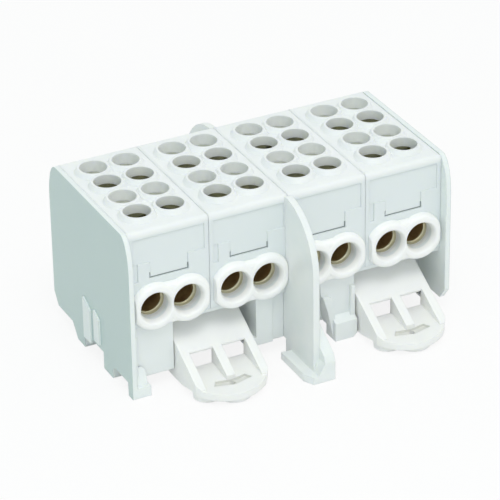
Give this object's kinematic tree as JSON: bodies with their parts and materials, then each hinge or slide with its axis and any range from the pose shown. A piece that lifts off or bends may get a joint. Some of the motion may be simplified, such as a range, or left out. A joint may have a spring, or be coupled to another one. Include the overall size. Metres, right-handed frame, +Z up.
{
  "type": "power distribution block",
  "caption": "Row of insulating hoods over brass terminals, with round wire entries front and back, clamp screws in collared wells on top and pull-out rail latches.",
  "frame": {"origin": "middle of the block's footprint, on the plane that the feet stand on", "axes": "+X along the row of poles, -Y towards the front with the latches, +Z up towards the clamp screws"},
  "size_m": [0.1044, 0.0886, 0.0528],
  "materials": {
    "white_plastic": "smooth moulded, slightly satin",
    "brass": "machined, slightly tarnished",
    "plated_steel": "yellow-passivated zinc plate"
  },
  "bodies": {
    "block": {"hood_1": "white_plastic", "hood_2": "white_plastic", "hood_3": "white_plastic", "hood_4": "white_plastic", "terminal_1": "brass", "terminal_2": "brass", "terminal_3": "brass", "terminal_4": "brass", "base_left": "white_plastic", "base_right": "white_plastic", "middle_support": "white_plastic", "end_plate_left": "white_plastic", "end_plate_right": "white_plastic"},
    "rail_latch_left": {"rail_latch_left": "white_plastic"},
    "rail_latch_right": {"rail_latch_right": "white_plastic"},
    "clamp_screw_11": {"clamp_screw_11": "plated_steel"},
    "clamp_screw_12": {"clamp_screw_12": "plated_steel"},
    "clamp_screw_13": {"clamp_screw_13": "plated_steel"},
    "clamp_screw_14": {"clamp_screw_14": "plated_steel"},
    "clamp_screw_15": {"clamp_screw_15": "plated_steel"},
    "clamp_screw_16": {"clamp_screw_16": "plated_steel"},
    "clamp_screw_17": {"clamp_screw_17": "plated_steel"},
    "clamp_screw_18": {"clamp_screw_18": "plated_steel"},
    "clamp_screw_21": {"clamp_screw_21": "plated_steel"},
    "clamp_screw_22": {"clamp_screw_22": "plated_steel"},
    "clamp_screw_23": {"clamp_screw_23": "plated_steel"},
    "clamp_screw_24": {"clamp_screw_24": "plated_steel"},
    "clamp_screw_25": {"clamp_screw_25": "plated_steel"},
    "clamp_screw_26": {"clamp_screw_26": "plated_steel"},
    "clamp_screw_27": {"clamp_screw_27": "plated_steel"},
    "clamp_screw_28": {"clamp_screw_28": "plated_steel"},
    "clamp_screw_31": {"clamp_screw_31": "plated_steel"},
    "clamp_screw_32": {"clamp_screw_32": "plated_steel"},
    "clamp_screw_33": {"clamp_screw_33": "plated_steel"},
    "clamp_screw_34": {"clamp_screw_34": "plated_steel"},
    "clamp_screw_35": {"clamp_screw_35": "plated_steel"},
    "clamp_screw_36": {"clamp_screw_36": "plated_steel"},
    "clamp_screw_37": {"clamp_screw_37": "plated_steel"},
    "clamp_screw_38": {"clamp_screw_38": "plated_steel"},
    "clamp_screw_41": {"clamp_screw_41": "plated_steel"},
    "clamp_screw_42": {"clamp_screw_42": "plated_steel"},
    "clamp_screw_43": {"clamp_screw_43": "plated_steel"},
    "clamp_screw_44": {"clamp_screw_44": "plated_steel"},
    "clamp_screw_45": {"clamp_screw_45": "plated_steel"},
    "clamp_screw_46": {"clamp_screw_46": "plated_steel"},
    "clamp_screw_47": {"clamp_screw_47": "plated_steel"},
    "clamp_screw_48": {"clamp_screw_48": "plated_steel"}
  },
  "joints": [
    {"name": "rail_latch_left_slide", "type": "slide", "parent": "block", "child": "rail_latch_left", "axis": [0, -1, 0], "range_m": [0, 0.004]},
    {"name": "rail_latch_right_slide", "type": "slide", "parent": "block", "child": "rail_latch_right", "axis": [0, -1, 0], "range_m": [0, 0.004]},
    {"name": "clamp_screw_11_travel", "type": "slide", "parent": "block", "child": "clamp_screw_11", "axis": [0, 0, -1], "range_m": [0, 0.008]},
    {"name": "clamp_screw_12_travel", "type": "slide", "parent": "block", "child": "clamp_screw_12", "axis": [0, 0, -1], "range_m": [0, 0.008]},
    {"name": "clamp_screw_13_travel", "type": "slide", "parent": "block", "child": "clamp_screw_13", "axis": [0, 0, -1], "range_m": [0, 0.008]},
    {"name": "clamp_screw_14_travel", "type": "slide", "parent": "block", "child": "clamp_screw_14", "axis": [0, 0, -1], "range_m": [0, 0.008]},
    {"name": "clamp_screw_15_travel", "type": "slide", "parent": "block", "child": "clamp_screw_15", "axis": [0, 0, -1], "range_m": [0, 0.008]},
    {"name": "clamp_screw_16_travel", "type": "slide", "parent": "block", "child": "clamp_screw_16", "axis": [0, 0, -1], "range_m": [0, 0.008]},
    {"name": "clamp_screw_17_travel", "type": "slide", "parent": "block", "child": "clamp_screw_17", "axis": [0, 0, -1], "range_m": [0, 0.008]},
    {"name": "clamp_screw_18_travel", "type": "slide", "parent": "block", "child": "clamp_screw_18", "axis": [0, 0, -1], "range_m": [0, 0.008]},
    {"name": "clamp_screw_21_travel", "type": "slide", "parent": "block", "child": "clamp_screw_21", "axis": [0, 0, -1], "range_m": [0, 0.008]},
    {"name": "clamp_screw_22_travel", "type": "slide", "parent": "block", "child": "clamp_screw_22", "axis": [0, 0, -1], "range_m": [0, 0.008]},
    {"name": "clamp_screw_23_travel", "type": "slide", "parent": "block", "child": "clamp_screw_23", "axis": [0, 0, -1], "range_m": [0, 0.008]},
    {"name": "clamp_screw_24_travel", "type": "slide", "parent": "block", "child": "clamp_screw_24", "axis": [0, 0, -1], "range_m": [0, 0.008]},
    {"name": "clamp_screw_25_travel", "type": "slide", "parent": "block", "child": "clamp_screw_25", "axis": [0, 0, -1], "range_m": [0, 0.008]},
    {"name": "clamp_screw_26_travel", "type": "slide", "parent": "block", "child": "clamp_screw_26", "axis": [0, 0, -1], "range_m": [0, 0.008]},
    {"name": "clamp_screw_27_travel", "type": "slide", "parent": "block", "child": "clamp_screw_27", "axis": [0, 0, -1], "range_m": [0, 0.008]},
    {"name": "clamp_screw_28_travel", "type": "slide", "parent": "block", "child": "clamp_screw_28", "axis": [0, 0, -1], "range_m": [0, 0.008]},
    {"name": "clamp_screw_31_travel", "type": "slide", "parent": "block", "child": "clamp_screw_31", "axis": [0, 0, -1], "range_m": [0, 0.008]},
    {"name": "clamp_screw_32_travel", "type": "slide", "parent": "block", "child": "clamp_screw_32", "axis": [0, 0, -1], "range_m": [0, 0.008]},
    {"name": "clamp_screw_33_travel", "type": "slide", "parent": "block", "child": "clamp_screw_33", "axis": [0, 0, -1], "range_m": [0, 0.008]},
    {"name": "clamp_screw_34_travel", "type": "slide", "parent": "block", "child": "clamp_screw_34", "axis": [0, 0, -1], "range_m": [0, 0.008]},
    {"name": "clamp_screw_35_travel", "type": "slide", "parent": "block", "child": "clamp_screw_35", "axis": [0, 0, -1], "range_m": [0, 0.008]},
    {"name": "clamp_screw_36_travel", "type": "slide", "parent": "block", "child": "clamp_screw_36", "axis": [0, 0, -1], "range_m": [0, 0.008]},
    {"name": "clamp_screw_37_travel", "type": "slide", "parent": "block", "child": "clamp_screw_37", "axis": [0, 0, -1], "range_m": [0, 0.008]},
    {"name": "clamp_screw_38_travel", "type": "slide", "parent": "block", "child": "clamp_screw_38", "axis": [0, 0, -1], "range_m": [0, 0.008]},
    {"name": "clamp_screw_41_travel", "type": "slide", "parent": "block", "child": "clamp_screw_41", "axis": [0, 0, -1], "range_m": [0, 0.008]},
    {"name": "clamp_screw_42_travel", "type": "slide", "parent": "block", "child": "clamp_screw_42", "axis": [0, 0, -1], "range_m": [0, 0.008]},
    {"name": "clamp_screw_43_travel", "type": "slide", "parent": "block", "child": "clamp_screw_43", "axis": [0, 0, -1], "range_m": [0, 0.008]},
    {"name": "clamp_screw_44_travel", "type": "slide", "parent": "block", "child": "clamp_screw_44", "axis": [0, 0, -1], "range_m": [0, 0.008]},
    {"name": "clamp_screw_45_travel", "type": "slide", "parent": "block", "child": "clamp_screw_45", "axis": [0, 0, -1], "range_m": [0, 0.008]},
    {"name": "clamp_screw_46_travel", "type": "slide", "parent": "block", "child": "clamp_screw_46", "axis": [0, 0, -1], "range_m": [0, 0.008]},
    {"name": "clamp_screw_47_travel", "type": "slide", "parent": "block", "child": "clamp_screw_47", "axis": [0, 0, -1], "range_m": [0, 0.008]},
    {"name": "clamp_screw_48_travel", "type": "slide", "parent": "block", "child": "clamp_screw_48", "axis": [0, 0, -1], "range_m": [0, 0.008]}
  ]
}
